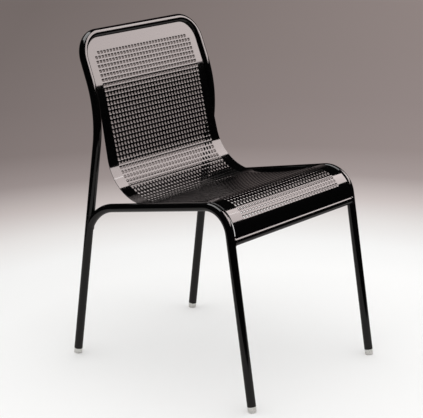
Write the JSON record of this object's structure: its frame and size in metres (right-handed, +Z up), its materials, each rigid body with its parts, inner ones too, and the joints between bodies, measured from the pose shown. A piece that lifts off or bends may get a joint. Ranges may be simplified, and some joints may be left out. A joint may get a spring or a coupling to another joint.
{
  "type": "stacking side chair",
  "caption": "Armless side chair with a bent, perforated steel sheet as back, seat and front lip, welded into a black frame of round steel tube.",
  "frame": {"origin": "on the floor, midway between the front and rear feet and midway between left and right", "axes": "+Z up from the floor, the chair faces -Y, the sitter's left is +X"},
  "size_m": [0.4742, 0.5667, 0.78],
  "materials": {
    "frame_enamel": "gloss black enamel on round steel tube",
    "sheet_enamel": "gloss black enamel on perforated steel sheet",
    "weld_enamel": "the same enamel over rounded weld metal",
    "glide_plastic": "milky translucent moulded plastic"
  },
  "bodies": {
    "root": {"back_hoop_and_rear_legs": "frame_enamel", "side_frame_left": "frame_enamel", "side_frame_right": "frame_enamel", "front_cross_rail": "frame_enamel", "seat_and_back_shell": "sheet_enamel", "weld_rear_leg_left": "weld_enamel", "weld_rear_leg_right": "weld_enamel", "weld_front_rail_left": "weld_enamel", "weld_front_rail_right": "weld_enamel", "sheet_welds_top_rail": "weld_enamel", "sheet_welds_back_left": "weld_enamel", "sheet_welds_back_right": "weld_enamel", "sheet_welds_seat_left": "weld_enamel", "sheet_welds_seat_right": "weld_enamel", "sheet_welds_front_rail": "weld_enamel", "glide_front_left": "glide_plastic", "glide_front_right": "glide_plastic", "glide_rear_left": "glide_plastic", "glide_rear_right": "glide_plastic"}
  },
  "joints": []
}
